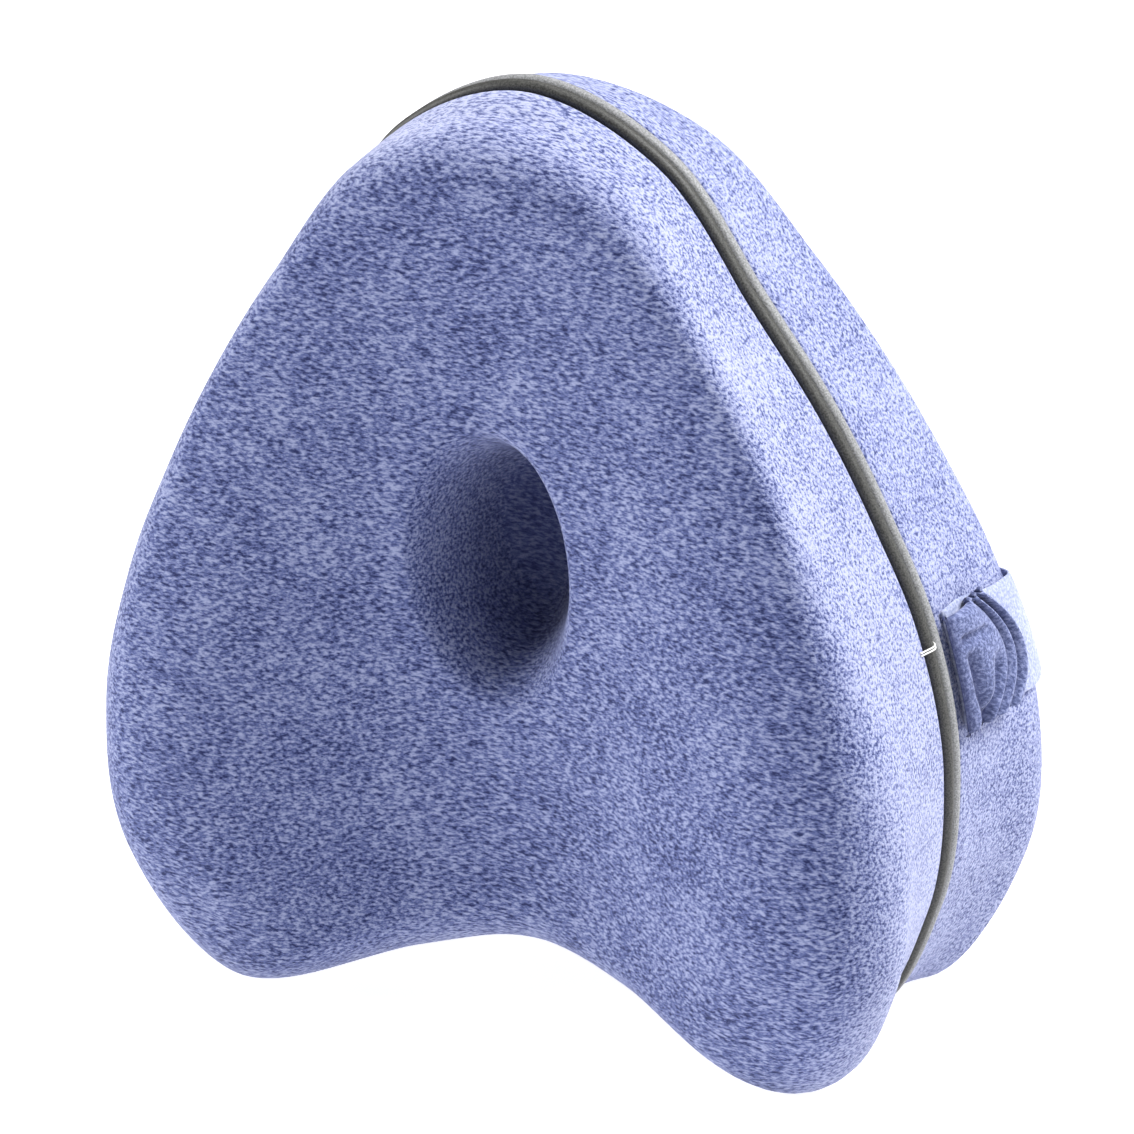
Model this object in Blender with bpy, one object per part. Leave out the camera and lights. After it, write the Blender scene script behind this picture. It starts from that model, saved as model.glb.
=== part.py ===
"""Knee pillow with a zipped knit cover and an elastic leg strap.

The pillow stands on its two feet with the narrow end up. X is its width, Y its thickness, with the front
face towards -Y, and Z its height. The floor is Z = 0. Lengths are in millimetres up to the point where a
mesh is made.
"""

import math
from collections import namedtuple

import bmesh
import bpy
from mathutils import Vector

MM = 0.001

# The rim's outline, right half, from the narrow end round to the notch between the feet.
# x, z: where the rim is. seam: how far the middle seam lies outside the rim. edge: how round the rim is.
Station = namedtuple("Station", "x z seam edge")
OUTLINE = (
    Station(x=0, z=243, seam=4, edge=16),
    Station(x=37, z=230, seam=1, edge=12),
    Station(x=61, z=199, seam=-1, edge=7),
    Station(x=78, z=172, seam=0, edge=6),
    Station(x=92, z=145, seam=0, edge=8),
    Station(x=105, z=115, seam=-1, edge=12),
    Station(x=114, z=78, seam=-5, edge=17),
    Station(x=110, z=35, seam=-8, edge=20),
    Station(x=84, z=-1, seam=-6, edge=21),
    Station(x=33, z=12, seam=-3, edge=17),
    Station(x=0, z=19, seam=-2, edge=15),
)
SAMPLES_A_SPAN = 5
MIDDLE = 115  # height of the point that the sections run out from

# The saddle face, measured from the middle seam's plane.
VALLEY = 34  # half the thickness in the middle
RISE = 17.3  # what the crest beside the valley adds to it
CREST = 90  # how far the crest is from the centre line, where it is furthest
CREST_Z = 70  # where that is
CREST_TOP_BEND = 430  # how slowly the crests close in above there, and below
CREST_FOOT_BEND = 150
CREST_MOST = 1.15  # how far past the crest the face still falls
FOOT_SHARE = 0.94  # how much more the sides rise at the floor than at MIDDLE
END_DROP = 3  # how much lower the centre line is at the floor than at MIDDLE

# The dimple in the middle of each face.
DIMPLE_HALF_WIDTH = 24
DIMPLE_HALF_HEIGHT = 39
DIMPLE_Z = 130
DIMPLE_DEPTH = 27
DIMPLE_WALL = 0.6  # the share of the half width that slopes

# The zip: two rolled tape edges in a groove along the seam.
ROLL_HALF_WIDTH = 2.1
ROLL_HALF_DEPTH = 1.7
ROLL_SPACING = 4.6
ROLL_SUNK = 0.5
ROLL_SIDES = 10
CLEARANCE = 0.3
GROOVE_HALF_WIDTH = ROLL_SPACING / 2 + ROLL_HALF_WIDTH + CLEARANCE
GROOVE_DEPTH = ROLL_SUNK + ROLL_HALF_DEPTH + CLEARANCE
LIP_ROUNDING = 1.2
LIP_HEIGHT = GROOVE_HALF_WIDTH + LIP_ROUNDING

# The leg strap.
STRAP_Z = 102
STRAP_WIDTH = 33
STRAP_THICKNESS = 2.2
STRAP_START = 6  # distance from the seam's plane
STRAP_EDGE_THINNING = 0.45
STRAP_EDGE_SHARPNESS = 6
STRAP_ROWS = 8
STRAP_WALL_STEPS = 12
STRAP_RIM_ANGLES = (90, 75, 60, 45, 30, 15, 0)
STRAP_SPAN_SHARES = (0.04, 0.08, 0.15, 0.3, 0.5, 0.75, 1)  # of the way from the rim to the centre line
# Folds beside the seam: from and to are distances along the strap, bulge how far each one stands out.
Fold = namedtuple("Fold", "start end bulge")
FOLDS = (
    Fold(start=0, end=16, bulge=4.0),
    Fold(start=16, end=23, bulge=3.2),
    Fold(start=23, end=30, bulge=3.0),
)
FOLD_FULLNESS = 0.6

# Where the skin's rings lie: shares of the dimple's half width, shares of the way from the last of those to
# the rim, angles round the rim, and shares of the side wall.
DIMPLE_STEPS = (0.2, 0.35, 0.48, 0.6, 0.72, 0.84, 0.96, 1.1)
FACE_STEPS = (0.15, 0.35, 0.57, 0.8, 1.0)
EDGE_ANGLES = (22.5, 45, 67.5, 90)
WALL_STEPS = (0.75, 0.5, 0.25)

FABRIC_COLOUR = (0.155, 0.195, 0.42, 1)
ZIP_COLOUR = (0.26, 0.26, 0.25, 1)


def clear_scene():
    for item in list(bpy.data.objects):
        bpy.data.objects.remove(item)


def smoothstep(share):
    share = min(max(share, 0), 1)
    return share * share * (3 - 2 * share)


def outline_at(place):
    """The station at any place round the outline, counted in spans from the narrow end: a smooth curve
    through the stations, clockwise as seen from the front, mirrored for the left half."""
    last = len(OUTLINE) - 1

    def knot(index):
        index %= 2 * last
        if index <= last:
            return OUTLINE[index]
        twin = OUTLINE[2 * last - index]
        return twin._replace(x=-twin.x)

    index = math.floor(place)
    share = place - index
    before, start, end, after = (knot(index + step) for step in (-1, 0, 1, 2))

    def blend(p0, p1, p2, p3):
        return 0.5 * (
            2 * p1
            + (p2 - p0) * share
            + (2 * p0 - 5 * p1 + 4 * p2 - p3) * share**2
            + (3 * p1 - p0 - 3 * p2 + p3) * share**3
        )

    return Station(*(blend(*values) for values in zip(before, start, end, after)))


def face_height(x, z):
    """Distance of the face from the seam's plane."""
    down = (MIDDLE - z) / MIDDLE
    crest = CREST - (z - CREST_Z) ** 2 / (CREST_TOP_BEND if z > CREST_Z else CREST_FOOT_BEND)
    rise = RISE * (crest / CREST) ** 2 * (1 + FOOT_SHARE * down)
    share = min(abs(x) / crest, CREST_MOST)
    saddle = VALLEY + rise * (2 * share**2 - share**4) - END_DROP * down**2
    reach = math.hypot(x / DIMPLE_HALF_WIDTH, (z - DIMPLE_Z) / DIMPLE_HALF_HEIGHT)
    return saddle - DIMPLE_DEPTH * smoothstep((1 - reach) / DIMPLE_WALL)


class Section:
    """The pillow's front half cut from its middle out through one station. A reach is a distance out from
    the middle, and a height is a distance from the seam's plane."""

    def __init__(self, station):
        self.reach = math.hypot(station.x, station.z - MIDDLE)
        self.out = Vector((station.x, 0, station.z - MIDDLE)) / self.reach
        self.seam, self.edge = station.seam, station.edge
        self.seam_reach = self.reach + station.seam
        self.face_end = self.at(self.reach - self.edge, 0)
        self.face_end.y = face_height(self.face_end.x, self.face_end.z)
        self.wall_height = self.face_end.y - self.edge

    def at(self, reach, height):
        return Vector((0, height, MIDDLE)) + self.out * reach

    def dimple(self, share):
        x = self.out.x * share * DIMPLE_HALF_WIDTH
        z = DIMPLE_Z + self.out.z * share * DIMPLE_HALF_HEIGHT
        return Vector((x, face_height(x, z), z))

    def face(self, share):
        point = self.dimple(DIMPLE_STEPS[-1]).lerp(self.face_end, share)
        point.y = face_height(point.x, point.z)
        return point

    def rim(self, angle):
        turn = math.radians(angle)
        reach = self.reach - self.edge + self.edge * math.sin(turn)
        return self.at(reach, self.wall_height + self.edge * math.cos(turn))

    def wall(self, height):
        return self.at(self.reach + self.seam * (1 - (height / self.wall_height) ** 2), height)

    def groove(self):
        return (
            self.at(self.seam_reach - 0.1 * LIP_ROUNDING, LIP_HEIGHT),
            self.at(self.seam_reach - 0.4 * LIP_ROUNDING, LIP_HEIGHT - 0.7 * LIP_ROUNDING),
            self.at(self.seam_reach - LIP_ROUNDING, GROOVE_HALF_WIDTH),
            self.at(self.seam_reach - GROOVE_DEPTH, GROOVE_HALF_WIDTH - 0.2),
        )

    def skin(self):
        """Points from the face's middle to the seam."""
        climb = self.wall_height - LIP_HEIGHT
        return (
            [self.dimple(share) for share in DIMPLE_STEPS]
            + [self.face(share) for share in FACE_STEPS]
            + [self.rim(angle) for angle in EDGE_ANGLES]
            + [self.wall(LIP_HEIGHT + climb * share) for share in WALL_STEPS]
            + list(self.groove())
        )


def sections():
    spans = 2 * (len(OUTLINE) - 1)
    return [Section(outline_at(step / SAMPLES_A_SPAN)) for step in range(spans * SAMPLES_A_SPAN)]


def loft(rings, closed):
    """A bmesh skinned through rings of points, all with the same number of points. A closed one joins its
    last ring to its first, and an open one is capped."""
    mesh = bmesh.new()
    number = mesh.verts.layers.int.new("number")
    first = bmesh.ops.create_circle(mesh, segments=len(rings[0]), radius=1)["verts"]
    for index, vert in enumerate(first):
        vert[number] = index
        vert.co = rings[0][index] * MM
    start = edges = list(mesh.edges)
    for ring in rings[1:]:
        made = bmesh.ops.extrude_edge_only(mesh, edges=edges)["geom"]
        edges = [item for item in made if isinstance(item, bmesh.types.BMEdge)]
        for vert in {vert for edge in edges for vert in edge.verts}:
            vert.co = ring[vert[number]] * MM
    if closed:
        bmesh.ops.bridge_loops(mesh, edges=start + edges)
    else:
        for rim in (start, edges):
            bmesh.ops.contextual_create(mesh, geom=rim)
    return mesh


def stand_on_floor(mesh):
    """Cuts off what lies under the floor and closes the cuts, which leaves flat feet."""
    geometry = mesh.verts[:] + mesh.edges[:] + mesh.faces[:]
    bmesh.ops.bisect_plane(
        mesh, geom=geometry, plane_co=(0, 0, 0), plane_no=(0, 0, 1), clear_inner=True, dist=1e-6
    )
    open_edges = [edge for edge in mesh.edges if edge.is_boundary]
    bmesh.ops.holes_fill(mesh, edges=open_edges, sides=0)


def make_object(name, mesh, material):
    bmesh.ops.recalc_face_normals(mesh, faces=mesh.faces)
    data = bpy.data.meshes.new(name)
    mesh.to_mesh(data)
    mesh.free()
    data.materials.append(material)
    item = bpy.data.objects.new(name, data)
    bpy.context.collection.objects.link(item)
    return item


def make_material(name, colour, roughness):
    material = bpy.data.materials.new(name)
    material.use_nodes = True
    shader = material.node_tree.nodes["Principled BSDF"]
    shader.inputs["Base Color"].default_value = colour
    shader.inputs["Roughness"].default_value = roughness
    shader.inputs["Metallic"].default_value = 0
    return material


def make_pillow(cuts, material):
    back = [list(ring) for ring in zip(*(cut.skin() for cut in cuts))]
    front = [[Vector((point.x, -point.y, point.z)) for point in ring] for ring in back]
    mesh = loft(front + back[::-1], closed=False)
    caps = [face for face in mesh.faces if len(face.verts) > 4]
    bmesh.ops.poke(mesh, faces=caps)
    stand_on_floor(mesh)
    return make_object("pillow", mesh, material)


def make_zip_roll(name, side, cuts, material):
    """One rolled edge of the zip's tape, all the way round the seam. side is -1 in front and 1 behind."""
    rings = []
    for cut in cuts:
        middle = cut.seam_reach - ROLL_SUNK
        ring = []
        for step in range(ROLL_SIDES):
            turn = math.tau * step / ROLL_SIDES
            reach = middle + ROLL_HALF_DEPTH * math.cos(turn)
            ring.append(cut.at(reach, side * ROLL_SPACING / 2 + ROLL_HALF_WIDTH * math.sin(turn)))
        rings.append(ring)
    return make_object(name, loft(rings, closed=True), material)


def section_at_height(z):
    """The section on the right side whose rim is at this height."""
    high, low = 1.0, len(OUTLINE) - 3.0
    for _ in range(40):
        middle = (high + low) / 2
        if outline_at(middle).z > z:
            high = middle
        else:
            low = middle
    return Section(outline_at(high))


def strap_line(z):
    """The line on the pillow's back half that the strap follows at this height: along the right wall, round
    the rim and up to the crest, straight across the back and down the left wall."""
    cut = section_at_height(z)
    step_up = (cut.wall_height - STRAP_START) / STRAP_WALL_STEPS
    right = [cut.wall(STRAP_START + step_up * step) for step in range(STRAP_WALL_STEPS)]
    right += [cut.rim(angle) for angle in STRAP_RIM_ANGLES]
    end = right[-1]
    for share in STRAP_SPAN_SHARES:
        x = end.x * (1 - share)
        right.append(Vector((x, max(right[-1].y, face_height(x, end.z)), end.z)))
    left = [Vector((-point.x, point.y, point.z)) for point in reversed(right[:-1])]
    return right + left


def fold_height(distance):
    """How far the folds beside a seam lift the strap's outside, this far along it."""
    for fold in FOLDS:
        if fold.start <= distance <= fold.end:
            share = (distance - fold.start) / (fold.end - fold.start)
            return fold.bulge * math.sin(math.pi * share) ** FOLD_FULLNESS
    return 0


def make_strap(material):
    """One closed band: its outer rows and its inner rows make a ring at each step along it."""
    outside, inside = [], []
    for row in range(STRAP_ROWS + 1):
        across = 2 * row / STRAP_ROWS - 1
        line = strap_line(STRAP_Z + across * STRAP_WIDTH / 2)
        ahead = [0]
        for before, point in zip(line, line[1:]):
            ahead.append(ahead[-1] + (point - before).length)
        fullness = 1 - STRAP_EDGE_THINNING * across**STRAP_EDGE_SHARPNESS
        outer, inner = [], []
        for index, point in enumerate(line):
            tangent = line[min(index + 1, len(line) - 1)] - line[max(index - 1, 0)]
            outward = Vector((tangent.y, -tangent.x, 0)).normalized()
            distance = min(ahead[index], ahead[-1] - ahead[index])
            height = (STRAP_THICKNESS + fold_height(distance)) * fullness
            inner.append(point + outward * CLEARANCE)
            outer.append(point + outward * (CLEARANCE + height))
        outside.append(outer)
        inside.append(inner)
    rows = outside + inside[::-1]
    rings = [[row[step] for row in rows] for step in range(len(rows[0]))]
    return make_object("strap", loft(rings, closed=False), material)


def main():
    clear_scene()
    fabric = make_material("knit_fabric", FABRIC_COLOUR, 0.95)
    tape = make_material("zip_tape", ZIP_COLOUR, 0.6)
    cuts = sections()
    make_pillow(cuts, fabric)
    make_zip_roll("zip_front", -1, cuts, tape)
    make_zip_roll("zip_back", 1, cuts, tape)
    make_strap(fabric)


main()
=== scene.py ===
# %% [markdown]
# # Dressing a knee pillow
#
# A knee pillow is a block of moulded foam in a zipped stretch cover, with an elastic strap that holds it to
# one leg. The imported CAD model gives its size and place. This lesson puts the real surfaces over that model:
# a smooth taut cover, a zip with two rolled edges, and a strap that is gathered where it meets the zip. The
# frame is loaded first, because the dressed pillow has to stay the same size.

# %% Load the frame
import math
from collections import namedtuple

import bpy
import numpy as np
from mathutils import Matrix, Vector


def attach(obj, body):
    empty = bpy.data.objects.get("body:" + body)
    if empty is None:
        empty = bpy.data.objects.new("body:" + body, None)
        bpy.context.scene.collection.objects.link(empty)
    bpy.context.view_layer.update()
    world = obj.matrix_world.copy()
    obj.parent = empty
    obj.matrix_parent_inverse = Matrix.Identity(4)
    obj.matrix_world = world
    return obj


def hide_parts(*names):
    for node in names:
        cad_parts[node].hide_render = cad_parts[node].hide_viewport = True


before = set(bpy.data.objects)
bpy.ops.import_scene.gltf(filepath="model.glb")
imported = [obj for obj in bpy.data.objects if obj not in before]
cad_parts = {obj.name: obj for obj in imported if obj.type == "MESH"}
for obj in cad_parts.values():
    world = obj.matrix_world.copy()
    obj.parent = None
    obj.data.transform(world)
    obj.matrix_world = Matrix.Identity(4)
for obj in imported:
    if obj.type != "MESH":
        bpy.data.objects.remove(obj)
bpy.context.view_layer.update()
MM = 0.001

# %% [markdown]
# ## The camera
#
# A product photograph is taken from a few steps away with a long lens, which keeps the shape from bulging.
# The camera here stands to the right of the pillow and above it. Its angles and its lens were found by laying
# the pillow's outline over the photograph. A camera looks down its own -Z axis, so its three axes are worked
# out from the angles and written as the columns of a matrix.

# %% Place the camera
TURN = 29.7  # degrees round the pillow, from straight ahead towards its right side
LIFT = 24.5  # degrees above the floor
ROLL = -3.3  # degrees
DISTANCE = 1.464
AIM = Vector((0.0021, 0, 0.1161))
LENS = 182.2  # mm, on a sensor 36 mm wide

turn, lift, roll = (math.radians(angle) for angle in (TURN, LIFT, ROLL))
back = Vector((math.sin(turn) * math.cos(lift), -math.cos(turn) * math.cos(lift), math.sin(lift)))
level = Vector((0, 0, 1)).cross(back).normalized()
upward = back.cross(level)
right = level * math.cos(roll) + upward * math.sin(roll)
upward = upward * math.cos(roll) - level * math.sin(roll)
bpy.ops.object.select_all(action="DESELECT")
bpy.ops.object.camera_add()
camera = bpy.context.object
axes = Matrix((right, upward, back)).transposed().to_4x4()
camera.matrix_world = Matrix.Translation(AIM + back * DISTANCE) @ axes
camera.data.lens = LENS
camera.data.sensor_width = 36
camera.data.sensor_fit = "HORIZONTAL"
bpy.context.scene.camera = camera
print("camera at", [round(value, 3) for value in camera.location])

# %% [markdown]
# ## Helpers for materials
#
# Colours are easiest to read as the hex values of a paint program, but Blender's shaders want linear light.
# One function turns the first into the second. A second function adds a node, sets it and links it, so each
# material below reads as a list of what it is made of.


# %% Colours and nodes
def linear(code):
    """An sRGB hex colour as linear red, green, blue and alpha."""
    values = [int(code[start:start + 2], 16) / 255 for start in (0, 2, 4)]
    return [v / 12.92 if v <= 0.04045 else ((v + 0.055) / 1.055) ** 2.4 for v in values] + [1]


def add_node(tree, kind, inputs=None, **settings):
    """A node of that kind. An input is a plain value, or another node's output socket."""
    node = tree.nodes.new(kind)
    for name, value in settings.items():
        setattr(node, name, value)
    for name, value in (inputs or {}).items():
        if isinstance(value, bpy.types.NodeSocket):
            tree.links.new(value, node.inputs[name])
        else:
            node.inputs[name].default_value = value
    return node


def set_ramp(node, stops):
    """Gives a colour ramp its stops, each a place from 0 to 1 and a hex colour."""
    while len(node.color_ramp.elements) < len(stops):
        node.color_ramp.elements.new(1)
    for element, (place, code) in zip(node.color_ramp.elements, stops):
        element.position = place
        element.color = linear(code)


def new_material(name):
    """An empty material, its node tree and its output node."""
    material = bpy.data.materials.new(name)
    material.use_nodes = True
    material.node_tree.nodes.clear()
    return material, material.node_tree, material.node_tree.nodes.new("ShaderNodeOutputMaterial")


print("blue thread in linear light:", [round(value, 3) for value in linear("6f7bb4")[:3]])

# %% [markdown]
# ## The knit
#
# The cover is a melange jersey: a stretch knit whose yarn is spun from dark and pale blue fibres, brushed to
# a short velvety pile. The eye reads it as pale and dark dashes about two millimetres long, in rows that
# climb a little to one side. Noise that is stretched along one axis gives that. The mapping is turned so that
# the dashes follow the rows on the faces, and seen from the end on the side walls they become dots. The walls
# get paler shades, which is painted light, and the deep dimple is darkened, which is painted shade. Two
# attributes of the mesh tell the material where that is, one for the painted light and one, "shaded", for the
# painted shade. The pile catches light at the edges, which is the shader's sheen.

# %% Make the knit
DASH_LENGTH = 2.0  # mm
DASH_WIDTH = 0.75  # mm
ROW_CLIMB = 20  # degrees
PATCH = 18  # mm, how wide the faint cloudy patches are
PILE = 0.35  # mm


def make_knit(name, face_shades, wall_shades, bump):
    """A brushed melange jersey. Its dashes run through face_shades, and through wall_shades where the
    attribute for the walls is 1; those paler shades are painted light. The one called shaded mixes the colour
    towards navy, which is painted shade."""
    material, tree, output = new_material(name)
    place = add_node(tree, "ShaderNodeTexCoord").outputs["Object"]
    dashes = add_node(tree, "ShaderNodeMapping", {
        "Vector": place,
        "Rotation": (0, math.radians(ROW_CLIMB), 0),
        "Scale": (1 / DASH_LENGTH / MM, 1 / DASH_WIDTH / MM, 1 / DASH_WIDTH / MM),
    }).outputs["Vector"]
    yarn = add_node(tree, "ShaderNodeTexNoise", {
        "Vector": dashes, "Scale": 1, "Detail": 2, "Roughness": 0.6,
    }).outputs["Fac"]
    patches = add_node(tree, "ShaderNodeTexNoise", {
        "Vector": place, "Scale": 1 / PATCH / MM, "Detail": 3,
    }).outputs["Fac"]
    drift = add_node(tree, "ShaderNodeMapRange", {
        "Value": patches, "From Min": 0.3, "From Max": 0.7, "To Min": -0.035, "To Max": 0.035,
    }).outputs["Result"]
    mixed = add_node(tree, "ShaderNodeMath", {0: yarn, 1: drift}, operation="ADD").outputs["Value"]
    on_face = add_node(tree, "ShaderNodeValToRGB", {"Fac": mixed})
    set_ramp(on_face, face_shades)
    on_wall = add_node(tree, "ShaderNodeValToRGB", {"Fac": mixed})
    set_ramp(on_wall, wall_shades)
    painted_light = add_node(tree, "ShaderNodeAttribute", attribute_name="painted_light").outputs["Fac"]
    shaded = add_node(tree, "ShaderNodeAttribute", attribute_name="shaded").outputs["Fac"]
    # Painted light: the paler wall ramp is mixed in on the walls and on the band's sides.
    colour = add_node(tree, "ShaderNodeMix", {
        "Factor": painted_light, 6: on_face.outputs["Color"], 7: on_wall.outputs["Color"],
    }, data_type="RGBA").outputs[2]
    # Painted shade: the colour is mixed towards navy in the dimples and in the low points of the folds.
    colour = add_node(tree, "ShaderNodeMix", {
        "Factor": shaded, 6: colour, 7: linear("1d2249"),
    }, data_type="RGBA").outputs[2]
    pile = add_node(tree, "ShaderNodeTexNoise", {
        "Vector": place, "Scale": 1 / PILE / MM, "Detail": 1,
    }).outputs["Fac"]
    relief = add_node(tree, "ShaderNodeMath", {0: pile, 1: 0.35, 2: yarn}, operation="MULTIPLY_ADD")
    bumps = add_node(tree, "ShaderNodeBump", {
        "Height": relief.outputs["Value"], "Strength": bump, "Distance": 0.5 * MM,
    })
    cloth = add_node(tree, "ShaderNodeBsdfPrincipled", {
        "Base Color": colour, "Normal": bumps.outputs["Normal"],
        "Roughness": 0.95, "Specular IOR Level": 0.15,
        "Sheen Weight": 0.25, "Sheen Roughness": 0.5, "Sheen Tint": linear("eef0ff"),
    })
    tree.links.new(cloth.outputs["BSDF"], output.inputs["Surface"])
    return material


# The eye sees blue dashes on the faces, and grey-blue dots on a pale ground on the walls; the pale ground is
# painted light.
knit = make_knit(
    "brushed_melange_jersey",
    ((0.33, "262e5c"), (0.48, "5f6a9f"), (0.66, "a1a9ce")),
    ((0.33, "3a4372"), (0.44, "757da8"), (0.57, "a6abc8")),
    0.6,
)
# A duller and smoother cloth, in which the folds show more than the dashes do. Its paler second ramp, used on
# the band's sides, is painted light.
strap_knit = make_knit(
    "brushed_elastic_jersey",
    ((0.35, "434b70"), (0.5, "626b93"), (0.65, "868eb4")),
    ((0.35, "858dae"), (0.5, "9aa2c2"), (0.65, "b0b6d0")),
    0.3,
)
print("dashes", DASH_LENGTH, "mm long,", DASH_WIDTH, "mm wide, climbing", ROW_CLIMB, "degrees")

# %% [markdown]
# ## The pillow's outline
#
# Seen from the front the pillow is a heart standing on its two lobes. The moulded foam has a rim all round
# each face, and the cover's middle seam lies a little outside or inside that rim. A few stations down the
# right half hold those places in millimetres, and a smooth curve through them gives any place between. The
# left half is their mirror image. These are the same stations that the CAD model is made from.

# %% Describe the outline
Station = namedtuple("Station", "x z seam edge")
OUTLINE = (
    Station(x=0, z=243, seam=4, edge=16),
    Station(x=37, z=230, seam=1, edge=12),
    Station(x=61, z=199, seam=-1, edge=7),
    Station(x=78, z=172, seam=0, edge=6),
    Station(x=92, z=145, seam=0, edge=8),
    Station(x=105, z=115, seam=-1, edge=12),
    Station(x=114, z=78, seam=-5, edge=17),
    Station(x=110, z=35, seam=-8, edge=20),
    Station(x=84, z=-1, seam=-6, edge=21),
    Station(x=33, z=12, seam=-3, edge=17),
    Station(x=0, z=19, seam=-2, edge=15),
)
MIDDLE = 115  # height of the point that the sections run out from


def outline_at(place):
    """The station at any place round the outline, counted in spans clockwise from the narrow end."""
    last = len(OUTLINE) - 1

    def knot(index):
        index %= 2 * last
        if index <= last:
            return OUTLINE[index]
        twin = OUTLINE[2 * last - index]
        return twin._replace(x=-twin.x)

    index = math.floor(place)
    share = place - index
    before, start, end, after = (knot(index + step) for step in (-1, 0, 1, 2))

    def blend(p0, p1, p2, p3):
        return 0.5 * (
            2 * p1
            + (p2 - p0) * share
            + (2 * p0 - 5 * p1 + 4 * p2 - p3) * share**2
            + (3 * p1 - p0 - 3 * p2 + p3) * share**3
        )

    return Station(*(blend(*values) for values in zip(before, start, end, after)))


print("widest station:", outline_at(6))

# %% [markdown]
# ## The face
#
# Each face is a saddle, so that a leg lies in it: the middle line is a shallow valley, and the sides rise to
# a crest just inside the rim, more so towards the feet. In the middle is an oval dimple that lets the foam
# give. One function holds the height of the face over the seam's plane. A section then runs from the middle
# of a face out to the seam: over the face, round the rim, down the side wall and over the soft lip beside
# the zip.

# %% Describe the face and a section
VALLEY = 34  # mm, half the thickness in the middle
RISE = 17.3  # what the crest beside the valley adds to it
CREST = 90  # how far the crest is from the centre line, where it is furthest
CREST_Z = 70  # where that is
CREST_TOP_BEND = 430  # how slowly the crests close in above there, and below
CREST_FOOT_BEND = 150
CREST_MOST = 1.15  # how far past the crest the face still falls
FOOT_SHARE = 0.94  # how much more the sides rise at the floor than at MIDDLE
END_DROP = 3  # how much lower the centre line is at the floor than at MIDDLE
DIMPLE_HALF_WIDTH = 24
DIMPLE_HALF_HEIGHT = 39
DIMPLE_Z = 130
DIMPLE_DEPTH = 27
DIMPLE_WALL = 0.6

ROLL_HALF_WIDTH = 1.8
ROLL_HALF_DEPTH = 1.7
ROLL_SPACING = 3.8
ROLL_SUNK = 0.5
GAP = 0.7  # between a rolled edge of the zip and the cover's lip
GROOVE_HALF_WIDTH = ROLL_SPACING / 2 + ROLL_HALF_WIDTH + GAP
GROOVE_DEPTH = 3.2
LIP = 1.3  # how round the lip is


def smoothstep(share):
    share = min(max(share, 0), 1)
    return share * share * (3 - 2 * share)


def face_height(x, z):
    """Distance of the face from the seam's plane."""
    down = (MIDDLE - z) / MIDDLE
    crest = CREST - (z - CREST_Z) ** 2 / (CREST_TOP_BEND if z > CREST_Z else CREST_FOOT_BEND)
    rise = RISE * (crest / CREST) ** 2 * (1 + FOOT_SHARE * down)
    share = min(abs(x) / crest, CREST_MOST)
    saddle = VALLEY + rise * (2 * share**2 - share**4) - END_DROP * down**2
    reach = math.hypot(x / DIMPLE_HALF_WIDTH, (z - DIMPLE_Z) / DIMPLE_HALF_HEIGHT)
    return saddle - DIMPLE_DEPTH * smoothstep((1 - reach) / DIMPLE_WALL)


class Section:
    """Half of the pillow cut from its middle out through one station."""

    def __init__(self, station):
        self.reach = math.hypot(station.x, station.z - MIDDLE)
        self.out = Vector((station.x, 0, station.z - MIDDLE)) / self.reach
        self.seam, self.edge = station.seam, station.edge
        self.seam_reach = self.reach + station.seam
        self.face_end = self.at(self.reach - self.edge, 0)
        self.face_end.y = face_height(self.face_end.x, self.face_end.z)
        self.wall_height = self.face_end.y - self.edge

    def at(self, reach, height):
        return Vector((0, height, MIDDLE)) + self.out * reach

    def dimple(self, share):
        x = self.out.x * share * DIMPLE_HALF_WIDTH
        z = DIMPLE_Z + self.out.z * share * DIMPLE_HALF_HEIGHT
        return Vector((x, face_height(x, z), z))

    def face(self, share):
        point = self.dimple(1.1).lerp(self.face_end, share)
        point.y = face_height(point.x, point.z)
        return point

    def rim(self, angle):
        turned = math.radians(angle)
        reach = self.reach - self.edge + self.edge * math.sin(turned)
        return self.at(reach, self.wall_height + self.edge * math.cos(turned))

    def wall(self, height):
        return self.at(self.reach + self.seam * (1 - (height / self.wall_height) ** 2), height)

    def lip(self, angle):
        """The cover's edge, turned in beside the zip."""
        turned = math.radians(angle)
        top = self.wall(GROOVE_HALF_WIDTH + LIP)
        drop = LIP * (1 - math.cos(turned))
        return top - self.out * drop - Vector((0, LIP * math.sin(turned), 0))


ROUND = 300  # sections round the outline
spans = 2 * (len(OUTLINE) - 1)
sections = [Section(outline_at(spans * step / ROUND)) for step in range(ROUND)]
print("thickest section:", round(2 * max(cut.wall_height + cut.edge for cut in sections), 1), "mm")

# %% [markdown]
# ## The cover
#
# Foam in a tight jersey shows no creases, so its surface is exactly the smooth one that the sections
# describe. The points of all sections make a grid that is closed round the outline and closed at the middle
# of each face. Points that would be under the floor are lifted to it, which is how a soft lobe flattens where
# it stands. A cloth simulation was left out here: its pressure would swell the saddle and the dimples, which
# the moulded foam holds in their shape. Each point also gets the two attributes that the knit reads.


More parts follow.
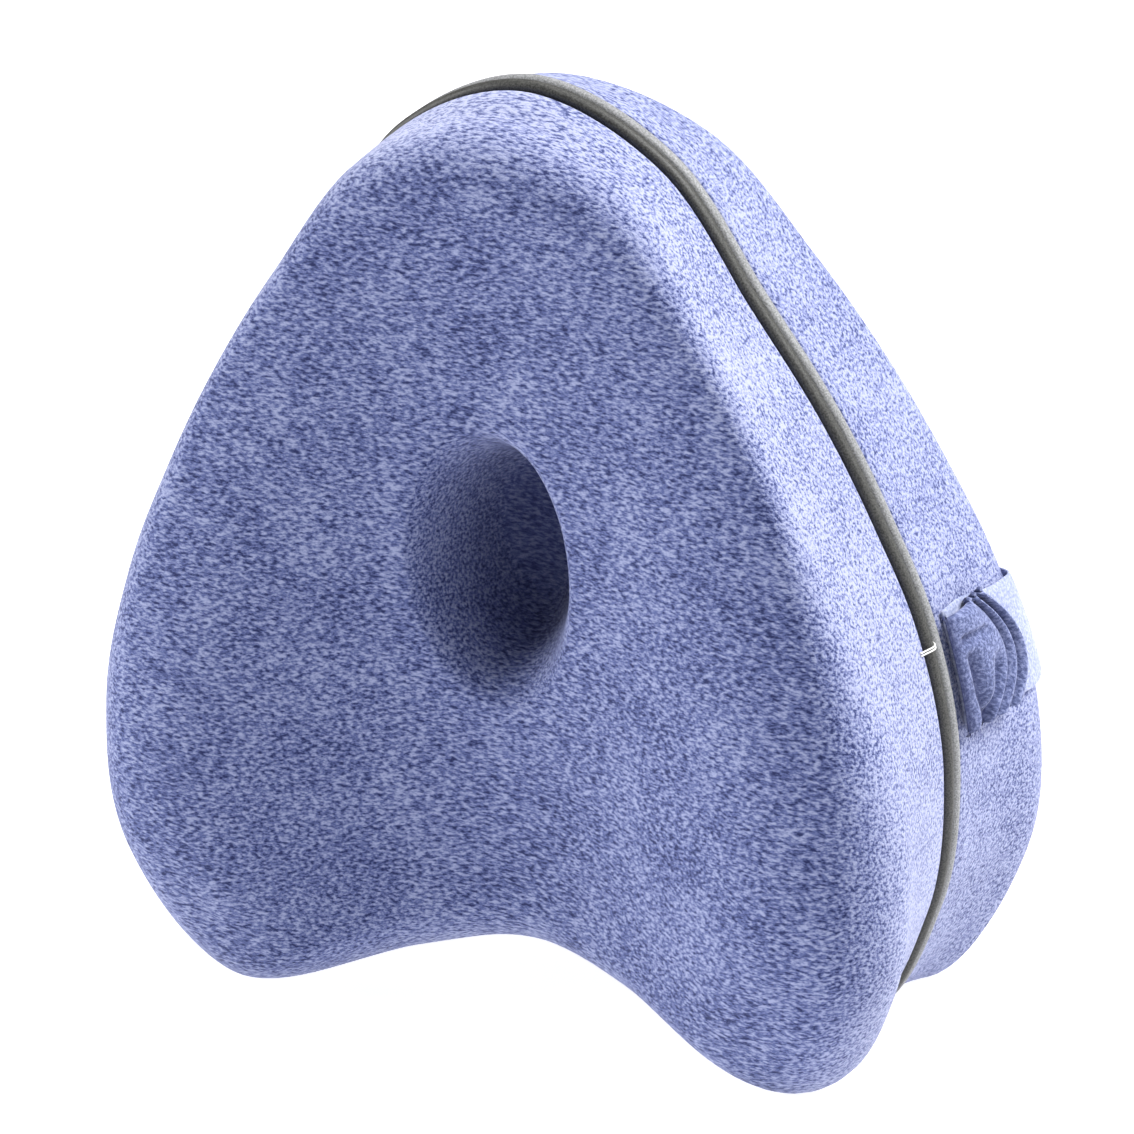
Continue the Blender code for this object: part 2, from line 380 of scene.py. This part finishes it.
# %% Build the cover
def grid_object(
    name, rows, material, around=False, closed=False, poles=False, ends=False, outward=None
):
    """A mesh over a grid of points in millimetres. around joins the last row to the first, closed joins each
    row's last point to its first, poles closes the first and the last column with a fan, and ends closes the
    first and the last row with a face. An open sheet is told which way is outward."""
    count, width = len(rows), len(rows[0])
    points = [tuple(value * MM for value in point) for row in rows for point in row]
    faces = []
    for row in range(count if around else count - 1):
        after = (row + 1) % count
        for column in range(width if closed else width - 1):
            beside = (column + 1) % width
            near, far = row * width, after * width
            faces.append((near + column, near + beside, far + beside, far + column))
    if poles:
        for column, flip in ((0, False), (width - 1, True)):
            ring = [points[row * width + column] for row in range(count)]
            points.append(tuple(sum(values) / count for values in zip(*ring)))
            for row in range(count):
                pair = (row * width + column, (row + 1) % count * width + column)
                faces.append((len(points) - 1, *(pair[::-1] if flip else pair)))
    if ends:
        faces += [tuple(range(width)), tuple((count - 1) * width + column for column in range(width))]
    mesh = bpy.data.meshes.new(name)
    mesh.from_pydata(points, [], faces)
    mesh.validate()
    mesh.materials.append(material)
    item = bpy.data.objects.new(name, mesh)
    bpy.context.collection.objects.link(item)
    bpy.ops.object.select_all(action="DESELECT")
    item.select_set(True)
    bpy.context.view_layer.objects.active = item
    bpy.ops.object.mode_set(mode="EDIT")
    bpy.ops.mesh.select_all(action="SELECT")
    if outward is None:
        bpy.ops.mesh.normals_make_consistent(inside=False)
    elif sum(face.area * face.normal.dot(outward) for face in mesh.polygons) < 0:
        bpy.ops.mesh.flip_normals()
    bpy.ops.object.mode_set(mode="OBJECT")
    bpy.ops.object.shade_smooth()
    return item


DIMPLE_COLUMNS = 18
FACE_COLUMNS = DIMPLE_COLUMNS + 14
RIM_COLUMNS = 9


def skin(cut):
    """Points from the middle of a face out over the rim and down to the zip."""
    low = GROOVE_HALF_WIDTH + LIP
    return (
        [cut.dimple(share) for share in np.linspace(0.05, 1.1, DIMPLE_COLUMNS)]
        + [cut.face(share) for share in np.linspace(0.07, 1, FACE_COLUMNS - DIMPLE_COLUMNS)]
        + [cut.rim(angle) for angle in range(10, 91, 10)]
        + [cut.wall(low + (cut.wall_height - low) * share) for share in np.linspace(0.86, 0, 7)]
        + [cut.lip(angle) for angle in (30, 60, 90)]
        + [cut.at(cut.seam_reach - GROOVE_DEPTH, GROOVE_HALF_WIDTH)]
    )


rows = []
for cut in sections:
    behind = skin(cut)
    front = [Vector((point.x, -point.y, point.z)) for point in behind]
    row = front + behind[::-1]
    for point in row:
        point.z = max(point.z, 0)
    rows.append(row)
cover = grid_object("cover", rows, knit, around=True, poles=True)
columns = len(rows[0])
# Painted light: the walls take the knit's paler shades, in full on the front half and at 0.7 on the back half.
# Painted shade: the dimples are mixed towards navy.
painted_light = cover.data.attributes.new("painted_light", "FLOAT", "POINT")
shaded = cover.data.attributes.new("shaded", "FLOAT", "POINT")
for vert in cover.data.vertices:
    column = vert.index % columns if vert.index < len(rows) * columns else 0
    paleness = 1 if column < columns / 2 else 0.7
    column = min(column, columns - 1 - column)
    painted_light.data[vert.index].value = paleness * smoothstep((column - FACE_COLUMNS) / RIM_COLUMNS)
    shaded.data[vert.index].value = 0.75 * smoothstep(1.25 - column / (0.8 * DIMPLE_COLUMNS))
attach(cover, "root")
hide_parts("pillow")
print("cover:", len(cover.data.polygons), "faces")

# %% [markdown]
# ## The zip's tape
#
# A cushion zip is sewn in so that its teeth stay hidden: each tape is rolled back on itself, and the two
# rolls meet over the teeth as a pair of soft grey beads in the seam. The tape is a close polyester weave, so
# it has a finer and flatter grain than the jersey, with a faint line along its middle. Under the rolls lies
# the flat of the tape. The front roll is painted darker and the rear roll paler than the one grey tape, which
# is painted shade and painted light, and the flat of the tape is painted near black as the shade in its
# groove.

# %% Make the tape
TAPE_THREAD = 0.45  # mm


def make_tape(name, dark, pale, roughness):
    """A close polyester weave, its threads too fine to see but for a slight grain."""
    material, tree, output = new_material(name)
    place = add_node(tree, "ShaderNodeTexCoord").outputs["Object"]
    threads = add_node(tree, "ShaderNodeTexNoise", {
        "Vector": place, "Scale": 1 / TAPE_THREAD / MM, "Detail": 2,
    }).outputs["Fac"]
    shades = add_node(tree, "ShaderNodeValToRGB", {"Fac": threads})
    set_ramp(shades, ((0.35, dark), (0.65, pale)))
    bumps = add_node(tree, "ShaderNodeBump", {"Height": threads, "Strength": 0.3, "Distance": 0.2 * MM})
    weave = add_node(tree, "ShaderNodeBsdfPrincipled", {
        "Base Color": shades.outputs["Color"], "Normal": bumps.outputs["Normal"],
        "Roughness": roughness, "Specular IOR Level": 0.35,
    })
    tree.links.new(weave.outputs["BSDF"], output.inputs["Surface"])
    return material


# The eye sees a dark grey bead, a paler one behind it, and darkness in the groove under them. Both beads are
# one grey tape: the front one is darker as painted shade, the rear one paler as painted light.
shaded_front_tape = make_tape("rolled_polyester_zip_tape", "2a2a29", "4d4d4a", 0.5)
lit_rear_tape = make_tape("lit_rolled_polyester_zip_tape", "6e6f70", "9a9b9d", 0.5)
shadow_tape = make_tape("shaded_flat_polyester_zip_tape", "1c1c20", "2c2c31", 0.8)
BEAD_SIDES = 20
for name, side, tape in (("zip_front", -1, shaded_front_tape), ("zip_back", 1, lit_rear_tape)):
    rows = []
    for cut in sections:
        middle = cut.seam_reach - ROLL_SUNK
        row = []
        for step in range(BEAD_SIDES):
            angle = math.tau * step / BEAD_SIDES
            reach = middle + ROLL_HALF_DEPTH * math.cos(angle)
            row.append(cut.at(reach, side * ROLL_SPACING / 2 + ROLL_HALF_WIDTH * math.sin(angle)))
        rows.append(row)
    bead = grid_object(name.replace("zip", "rolled_tape"), rows, tape, around=True, closed=True)
    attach(bead, "root")
    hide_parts(name)
    print(bead.name, len(bead.data.polygons), "faces")

# Painted shade: the flat tape is a real piece, but its near black stands for the shade in the groove under the
# rolls.
rows = []
for cut in sections:
    low, high = cut.seam_reach - GROOVE_DEPTH, cut.seam_reach - GROOVE_DEPTH + 0.7
    width = GROOVE_HALF_WIDTH + 0.3
    rows.append([cut.at(low, -width), cut.at(high, -width), cut.at(high, width), cut.at(low, width)])
flat_tape = grid_object("flat_tape", rows, shadow_tape, around=True, closed=True)
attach(flat_tape, "root")

# %% [markdown]
# ## Places on the back half
#
# The leg strap leaves the zip on one side, follows the wall, turns round the rim and is stretched straight
# over the hollow back to the other side. To lay cloth along that way, a place is given by its height and by
# its distance from the zip. A table of lines at many heights turns such a pair into a point and the direction
# that faces out of the pillow there.

# %% Map the strap's way
STRAP_TOP = 118.5
STRAP_BOTTOM = 85.5
STRAP_START = 6  # mm from the seam's plane


def section_at_height(z):
    """The section on the right side whose rim is at this height."""
    high, low = 1.0, len(OUTLINE) - 3.0
    for _ in range(40):
        middle = (high + low) / 2
        if outline_at(middle).z > z:
            high = middle
        else:
            low = middle
    return Section(outline_at(high))


def strap_way(z):
    """Distances and points along the strap's way at this height, from the right seam to the left."""
    cut = section_at_height(z)
    half = [cut.wall(height) for height in np.linspace(STRAP_START, cut.wall_height, 30)]
    half += [cut.rim(angle) for angle in range(85, -1, -5)]
    end = half[-1]
    for x in np.linspace(end.x, 0, 40)[1:]:
        half.append(Vector((x, max(half[-1].y, face_height(x, end.z)), end.z)))
    left = [Vector((-point.x, point.y, point.z)) for point in reversed(half[:-1])]
    points = np.array([tuple(point) for point in half + left])
    steps = np.linalg.norm(np.diff(points, axis=0), axis=1)
    return np.concatenate([[0], np.cumsum(steps)]), points


WAY_HEIGHTS = np.arange(STRAP_BOTTOM - 6, STRAP_TOP + 8)
WAYS = [strap_way(height) for height in WAY_HEIGHTS]
WAY_LENGTH = float(np.mean([distances[-1] for distances, _ in WAYS]))


def on_way(z, distance):
    """The point of the pillow at this height and distance, and the direction out of it."""
    place = min(max(z - WAY_HEIGHTS[0], 0), len(WAYS) - 1.001)
    index = int(place)

    def along(ahead):
        found = []
        for distances, points in WAYS[index:index + 2]:
            reached = ahead * distances[-1] / WAY_LENGTH
            found.append([np.interp(reached, distances, points[:, axis]) for axis in range(3)])
        share = place - index
        return Vector(found[0]) * (1 - share) + Vector(found[1]) * share

    ahead = along(min(distance + 0.4, WAY_LENGTH))
    behind = along(max(distance - 0.4, 0))
    direction = ahead - behind
    return along(distance), Vector((direction.y, -direction.x, 0)).normalized()


print("the strap's way is", round(WAY_LENGTH), "mm long")

# %% [markdown]
# ## The band
#
# The strap's base is a flat elastic band in a knit sleeve. It is modelled directly, as a loop of points round
# its section at each step along its way, because a remesh for a cloth simulation would wear away its thin
# edges. The loop is a soft rectangle. The band stands a little proud where it turns round the rim, and its
# upper edge drops there and again across the back.

# %% Lay the band
BAND_THICKNESS = 1.3
BAND_REST = 0.4  # from the cover to the band's underside
BAND_LOOP = 28
TOP_DROP = 4  # how far the upper edge drops, twice


def bump_at(value, centre, width):
    """A smooth bump, 1 at the centre and about a third one width away."""
    return math.exp(-(((value - centre) / width) ** 2))


# Painted light: paleness gives the band the knit's paler shades on its sides, and less of them across the
# back.
rows, paleness = [], []
for distance in np.linspace(1, WAY_LENGTH - 1, 180):
    from_end = min(distance, WAY_LENGTH - distance)
    proud = BAND_REST + 0.7 * smoothstep((from_end - 31) / 8) * (1 - smoothstep((from_end - 44) / 20))
    round_the_rim = smoothstep((from_end - 6) / 26)
    across_the_back = smoothstep((from_end - 32) / 20)
    top = STRAP_TOP - TOP_DROP * round_the_rim - TOP_DROP * across_the_back
    bottom = STRAP_BOTTOM - 0.5 * smoothstep((from_end - 25) / 20)
    row = []
    for step in range(BAND_LOOP):
        angle = math.tau * step / BAND_LOOP
        across, through = math.cos(angle), math.sin(angle)
        across = math.copysign(abs(across) ** 0.35, across)
        through = math.copysign(abs(through) ** 0.6, through)
        z = (top + bottom) / 2 + across * (top - bottom) / 2
        point, outward = on_way(z, distance)
        row.append(point + outward * (proud + BAND_THICKNESS / 2 * (1 + through)))
        paleness.append(1 - 0.6 * smoothstep((from_end - 45) / 20))
    rows.append(row)
band = grid_object("strap_band", rows, strap_knit, closed=True, ends=True)
pale = band.data.attributes.new("painted_light", "FLOAT", "POINT")
pale.data.foreach_set("value", paleness)
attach(band, "root")
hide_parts("strap")
print("band:", round(STRAP_TOP - STRAP_BOTTOM), "mm wide,", len(band.data.polygons), "faces")

# %% [markdown]
# ## The gathers
#
# The sleeve is longer than the elastic inside it, so at each seam the spare cloth is pushed into folds: a
# wide puff beside the zip, then two narrow ones. Each fold is a hollow loop whose edge bows away from the zip
# in the middle and returns at the top and bottom, where it is sewn down. A profile of points gives the loops
# at one height, with creases that undercut the folds, and the profile changes with height. The cloth's upper
# and lower edges curl in, and Solidify gives it its thickness. Points that lie low in a fold are marked as
# shaded for the knit, which darkens them there as painted shade.

# %% Fold the gathers
CLOTH = 0.8
LOW = BAND_REST + BAND_THICKNESS + CLOTH + 0.2  # how high the creases lie


def crescent(top, middle, bottom, level):
    """A place that changes with the level, which is -1 at the bottom, 0 in the middle and 1 at the top."""
    return middle * (1 - level**2) + (top * (level + 1) + bottom * (level - 1)) * level / 2


def smooth_through(knots, samples):
    """Points on a smooth curve through the knots, with so many to a span."""
    found = []
    for index in range(len(knots) - 1):
        chosen = [knots[min(max(index + step, 0), len(knots) - 1)] for step in (-1, 0, 1, 2)]
        p0, p1, p2, p3 = (np.array(knot, float) for knot in chosen)
        for share in np.arange(samples) / samples:
            found.append(0.5 * (
                2 * p1
                + (p2 - p0) * share
                + (2 * p0 - 5 * p1 + 4 * p2 - p3) * share**2
                + (3 * p1 - p0 - 3 * p2 + p3) * share**3
            ))
    return found + [np.array(knots[-1], float)]


def gather_profile(level):
    """Distances from the zip and heights over the cover of the folds at this level."""
    puff = crescent(11, 18.5, 8.5, level)
    second = crescent(14.5, 23.5, 15, level)
    third = crescent(18, 28, 21, level)
    knots = [(-1.8, LOW), (-1.7, 3), (0.4, 4.4), (puff * 0.45, 6.3)]
    knots += [(puff - 2.2, 6.4), (puff, 5), (puff - 0.3, 3.4)]
    for start, end in ((puff, second), (second, third)):
        knots += [(start + 0.3, LOW), (start + 1.1, 3.7), ((start + end) / 2 + 0.6, 5.6)]
        knots += [(end - 0.6, 5.4), (end, 4.1), (end - 0.5, 2.9)]
    knots.append((third - 0.2, LOW))
    return smooth_through(knots, 5), puff


def puff_relief(distance, z, puff):
    """What the soft creases in the wide puff add to its height."""
    inside = smoothstep(distance / 3) * smoothstep((puff - distance) / 3)
    crease = -1.8 * bump_at(z, 111.8, 1.4) * (1 - smoothstep((distance - 0.6 * puff) / 4))
    near_zip = -3.2 * bump_at(distance, 3.4 + (110 - z) * 0.06, 1.6) * smoothstep((110 - z) / 6)
    beside_edge = -3.4 * bump_at(distance, puff - 4.8, 1.7) * smoothstep((106 - z) / 8)
    return inside * (crease + near_zip + beside_edge)


def gather(name, side):
    """The folded sleeve at one end of the strap. side is 1 on the right and -1 on the left."""
    curls = np.radians((0, 25, 50, 75, 100, 125, 150))
    levels = [(-1, curl) for curl in curls[:0:-1]] + [(level, 0) for level in np.linspace(-1, 1, 33)]
    levels += [(1, curl) for curl in curls[1:]]
    # Painted shade: the low points of each fold are darkened towards navy in the knit.
    rows, painted_crease_shade = [], []
    for level, curl in levels:
        profile, puff = gather_profile(level)
        row = []
        for distance, height in profile:
            z = (STRAP_TOP + STRAP_BOTTOM) / 2 + level * (STRAP_TOP - STRAP_BOTTOM) / 2
            height = max(height + puff_relief(distance, z, puff), LOW)
            painted_crease_shade.append(0.8 * smoothstep((5.4 - height) / 3))
            closing = 0.95 if distance < puff else 0.5
            radius = closing * (height - LOW) / 2
            z += radius * (math.sin(curl) - 1) * level
            point, outward = on_way(z - level * 0.6, max(distance, 0))
            point.y += min(distance, 0)
            point += outward * (height - radius * (1 - math.cos(curl)))
            row.append(Vector((side * point.x, point.y, point.z)))
        rows.append(row)
    item = grid_object(name, rows, strap_knit, outward=Vector((side, 0, 0)))
    shaded = item.data.attributes.new("shaded", "FLOAT", "POINT")
    shaded.data.foreach_set("value", painted_crease_shade)
    modifier = item.modifiers.new("Solidify", "SOLIDIFY")
    modifier.thickness = CLOTH * MM
    modifier.offset = -1
    bpy.ops.object.modifier_apply(modifier=modifier.name)
    bpy.ops.object.shade_smooth()
    height = sum((after[40] - before[40]).length for before, after in zip(rows, rows[1:]))
    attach(item, "root")


gather("strap_gather_right", 1)
gather("strap_gather_left", -1)

# %% [markdown]
# ## The thread tack
#
# Where the strap is sewn in, a few turns of white thread tack the zip's front roll down, so that the pull of
# the strap doesn't open it. Each turn is a thin tube laid along a curve over the roll. The curve is given as
# distances from the seam's plane and heights over the seam.

# %% Sew the tack
TACK_Z = 112.7
THREAD = 0.22  # mm, half the thickness
thread_white, tree, output = new_material("white_polyester_thread")
spun = add_node(tree, "ShaderNodeBsdfPrincipled", {
    "Base Color": linear("e4e4e0"), "Roughness": 0.6, "Sheen Weight": 0.2,
})
tree.links.new(spun.outputs["BSDF"], output.inputs["Surface"])
over_the_roll = ((-7, 0.2), (-5.2, 0.7), (-3.6, 1.2), (-1.9, 1.55), (-0.7, 1.2), (0.2, 0.2))
for turn_number, offset in enumerate((-0.35, 0.35)):
    cut = section_at_height(TACK_Z + offset)
    way = [cut.at(cut.seam_reach + height, y) for y, height in smooth_through(over_the_roll, 4)]
    rows = []
    for index, point in enumerate(way):
        ahead = way[min(index + 1, len(way) - 1)] - way[max(index - 1, 0)]
        upright = Vector((0, 0, 1))
        outward = ahead.cross(upright).normalized()
        row = []
        for step in range(10):
            angle = math.tau * step / 10
            row.append(point + (outward * math.cos(angle) + upright * math.sin(angle)) * THREAD)
        rows.append(row)
    tack = grid_object(f"thread_tack_{turn_number + 1}", rows, thread_white, closed=True, ends=True)
    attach(tack, "root")
print("tack at a height of", TACK_Z, "mm")

# %% [markdown]
# ## The stage and the light
#
# The pillow stands on a plain pale sweep under soft lamps, as for a catalogue. A strong lamp high behind its
# right side makes the right wall bright. A weaker and lower one from the left lights the right half of the
# saddle and leaves the left half in the shade. Three faint ones fill in from above, from the right and from
# behind.

# %% Light the stage
bpy.ops.object.select_all(action="DESELECT")
bpy.ops.mesh.primitive_plane_add(size=8, location=(0, 0, -0.0003))
floor = bpy.context.object
floor.name = "floor"
# The eye sees plain white, with next to no shadow.
paper, tree, output = new_material("matt_white_paper")
surface = add_node(tree, "ShaderNodeBsdfPrincipled", {
    "Base Color": linear("b8b8bc"), "Roughness": 0.9,
    "Emission Color": linear("ffffff"), "Emission Strength": 0.9,
})
tree.links.new(surface.outputs["BSDF"], output.inputs["Surface"])
floor.data.materials.append(paper)


def lamp(name, azimuth, elevation, distance, size, power, colour="ffffff"):
    """A square soft lamp that looks at the pillow. Azimuth 0 is in front, and 90 on the pillow's right."""
    around, above = math.radians(azimuth), math.radians(elevation)
    away = Vector((math.sin(around) * math.cos(above), -math.cos(around) * math.cos(above), math.sin(above)))
    bpy.ops.object.select_all(action="DESELECT")
    bpy.ops.object.light_add(type="AREA", location=Vector((0, 0, 0.12)) + away * distance)
    item = bpy.context.object
    item.name = name
    item.rotation_euler = away.to_track_quat("Z", "Y").to_euler()
    item.data.size = size
    item.data.energy = power
    item.data.color = linear(colour)[:3]
    return item


lamp("key", 118, 50, 1.7, 0.9, 47)
lamp("left", -72, 18, 1.7, 0.9, 27)
lamp("top", 0, 90, 1.7, 0.9, 13)
lamp("side", 120, 18, 1.7, 0.9, 7)
lamp("behind", -150, 50, 1.7, 0.9, 5)
world = bpy.data.worlds.new("studio")
world.use_nodes = True
world.node_tree.nodes["Background"].inputs["Color"].default_value = linear("ffffff")
world.node_tree.nodes["Background"].inputs["Strength"].default_value = 0.05
bpy.context.scene.world = world
bpy.context.scene.view_settings.view_transform = "Standard"
